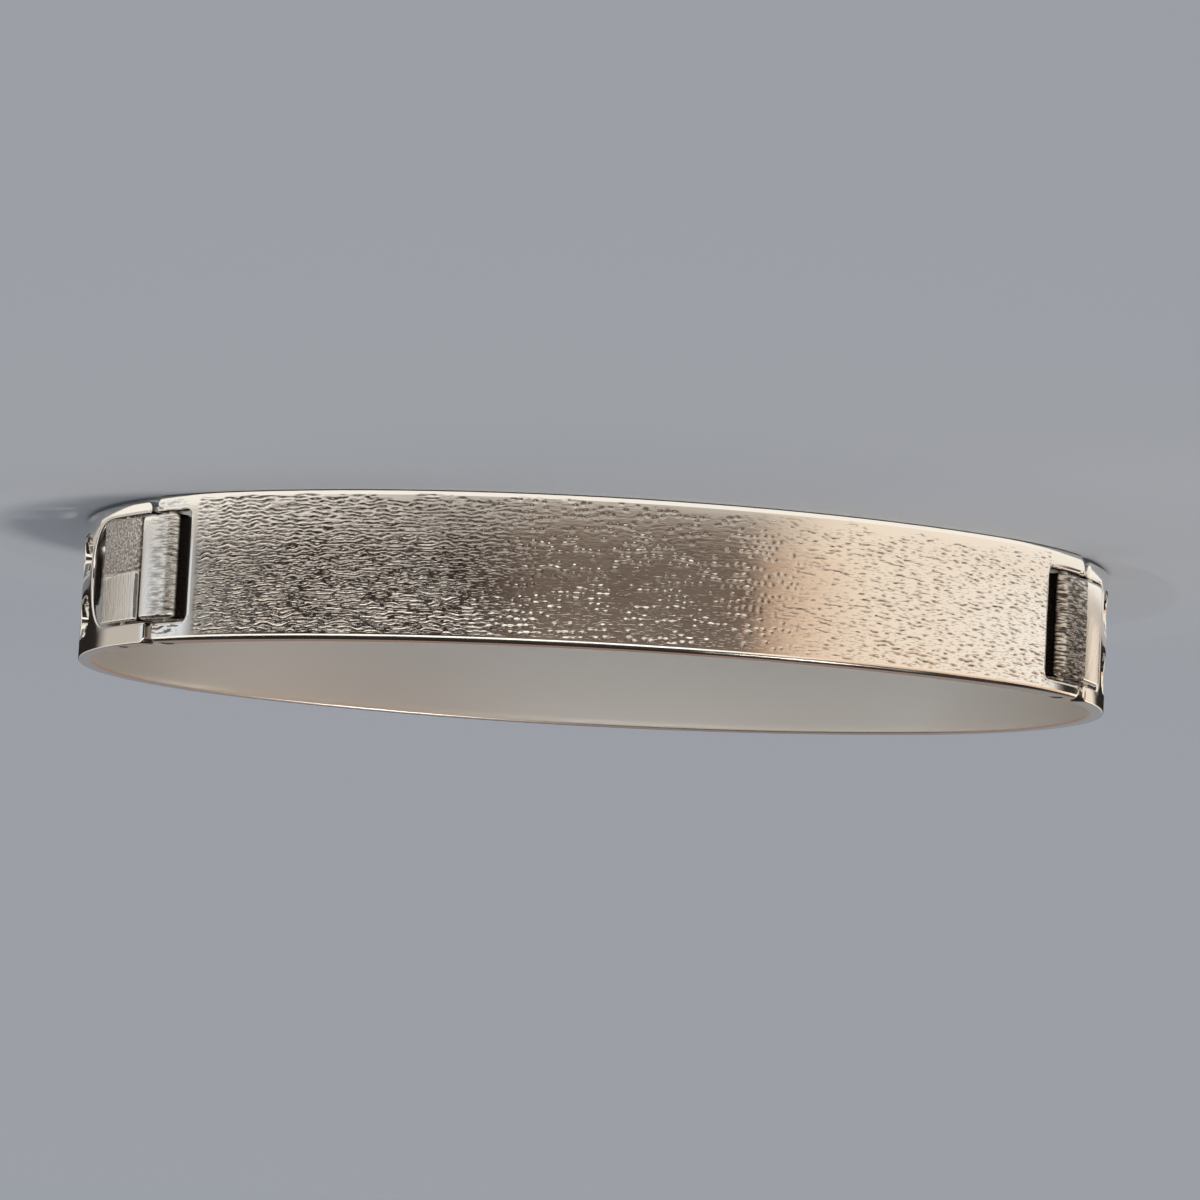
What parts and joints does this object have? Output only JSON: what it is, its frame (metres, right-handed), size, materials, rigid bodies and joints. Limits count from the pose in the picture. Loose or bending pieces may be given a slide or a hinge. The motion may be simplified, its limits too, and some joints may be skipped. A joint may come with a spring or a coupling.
{
  "type": "hinged identity bangle",
  "caption": "Hinged identity bangle: a curved name plate joined to a rigid C-shaped band by a swinging link at one end and a clasp at the other.",
  "frame": {"origin": "under the middle of the bangle, on the surface that it lies on", "axes": "+Z along the wrist and up from the surface, -Y out of the middle of the name plate, +X towards the clasp"},
  "size_m": [0.065, 0.052, 0.009],
  "materials": {
    "plate_silver": "silver with a fine bark texture, worn",
    "band_silver": "silver, mirror polished",
    "bar_silver": "silver, polished and worn",
    "block_silver": "silver, matt with a fine sandblasted grain",
    "wire_silver": "silver wire, drawn"
  },
  "bodies": {
    "band": {"rear_band": "band_silver", "band_hinge_pin": "wire_silver", "band_clasp_pin": "wire_silver"},
    "link": {"hinge_link": "bar_silver"},
    "plate": {"id_plate": "plate_silver", "plate_hinge_pin": "wire_silver", "plate_clasp_pin": "wire_silver"},
    "knuckle": {"clasp_knuckle": "bar_silver"},
    "block": {"clasp_block": "block_silver"}
  },
  "joints": [
    {"name": "link_swing", "type": "hinge", "parent": "band", "child": "link", "pos_m": [-0.03013, -0.00893, 0.0045], "axis": [0, 0, -1], "range_deg": [0, 60]},
    {"name": "plate_swing", "type": "hinge", "parent": "link", "child": "plate", "pos_m": [-0.02805, -0.01222, 0.0045], "axis": [0, 0, -1], "range_deg": [0, 80]},
    {"name": "knuckle_swing", "type": "hinge", "parent": "plate", "child": "knuckle", "pos_m": [0.02653, -0.01422, 0.0045], "axis": [0, 0, -1], "range_deg": [0, 60]},
    {"name": "block_tilt", "type": "hinge", "parent": "band", "child": "block", "pos_m": [0.02931, -0.0106, 0.0045], "axis": [0, 0, 1], "range_deg": [0, 20]}
  ]
}
